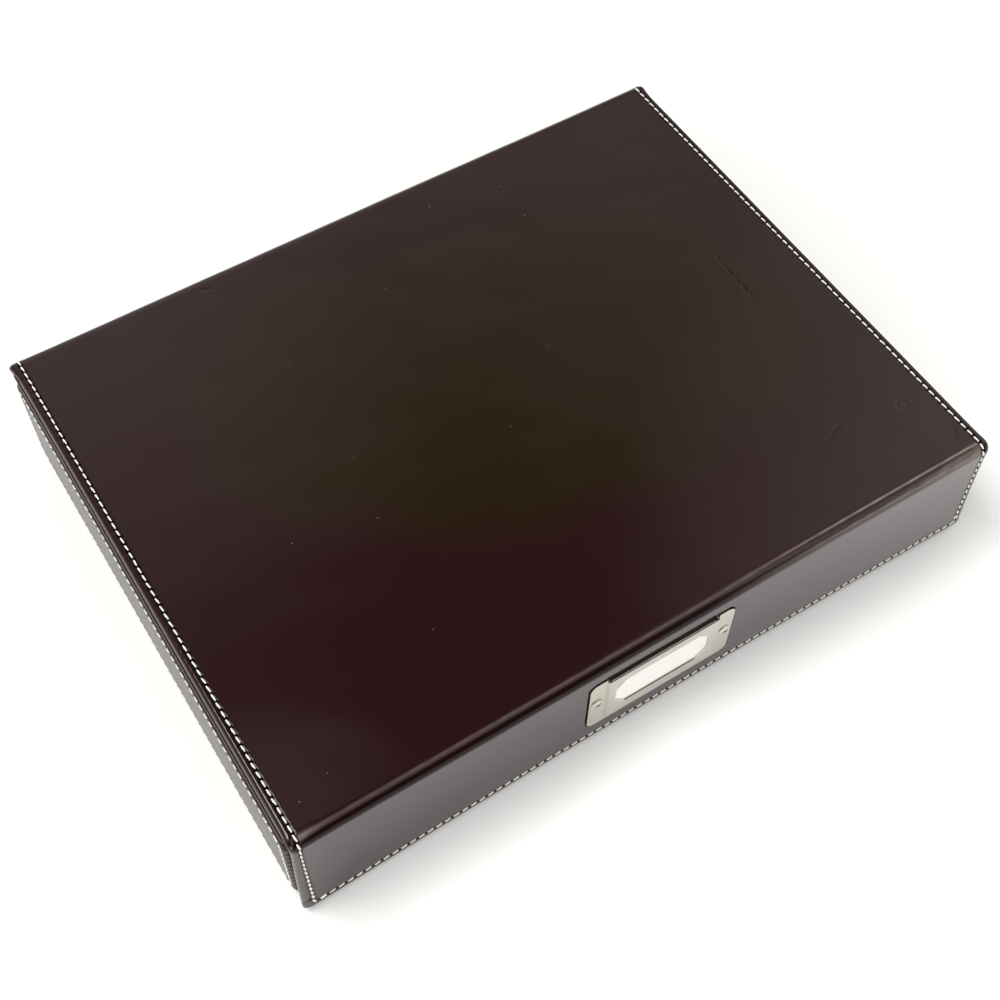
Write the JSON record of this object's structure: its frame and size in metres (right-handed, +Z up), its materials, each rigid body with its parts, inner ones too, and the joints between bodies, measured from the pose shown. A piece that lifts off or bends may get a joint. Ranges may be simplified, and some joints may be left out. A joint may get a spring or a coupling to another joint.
{
  "type": "file box",
  "caption": "Low leather file box for papers: stitched lid with a soft fold at the rear and a hanging front flap, stitched tray, and a card frame on the flap.",
  "frame": {"origin": "middle of the closed box's footprint, on the table", "axes": "+X along the front towards the right as seen from the front, +Y to the spine, +Z up out of the lid"},
  "size_m": [0.3354, 0.2599, 0.063],
  "materials": {
    "cover_leather": "gloss",
    "lining": "matte",
    "board": "matte",
    "nickel_plate": "satin",
    "magnet": "satin",
    "card": "matte",
    "thread": "satin"
  },
  "bodies": {
    "tray": {"base_leather": "cover_leather", "base_board": "board", "floor_lining": "lining", "front_wall_leather": "cover_leather", "front_wall_board": "board", "front_wall_lining": "lining", "back_wall_board": "board", "back_wall_lining": "lining", "left_wall_leather": "cover_leather", "left_wall_board": "board", "left_wall_lining": "lining", "right_wall_leather": "cover_leather", "right_wall_board": "board", "right_wall_lining": "lining", "spine_leather": "cover_leather", "spine_board": "board", "tray_magnets": "magnet", "rear_fold_leather": "cover_leather", "rear_fold_lining": "lining"},
    "lid": {"lid_leather": "cover_leather", "lid_board": "board", "lid_liner_board": "board", "lid_lining": "cover_leather", "front_fold_leather": "cover_leather", "front_fold_lining": "lining"},
    "flap": {"flap_leather": "cover_leather", "flap_board": "board", "flap_lining": "cover_leather", "flap_magnets": "magnet", "card_frame": "nickel_plate", "card_frame_screws": "nickel_plate"},
    "card": {"label_card": "card"}
  },
  "joints": [
    {"name": "lid_hinge", "type": "hinge", "parent": "tray", "child": "lid", "pos_m": [0, 0.12804, 0.06109], "axis": [-1, 0, 0], "range_deg": [0, 180], "deforming": ["rear_fold_leather", "rear_fold_lining"]},
    {"name": "flap_hinge", "type": "hinge", "parent": "lid", "child": "flap", "pos_m": [0, -0.12643, 0.06109], "axis": [-1, 0, 0], "range_deg": [0, 90], "deforming": ["front_fold_leather", "front_fold_lining"]},
    {"name": "label_slide", "type": "slide", "parent": "flap", "child": "card", "axis": [0, 0, 1], "range_m": [0, 0.03]}
  ]
}
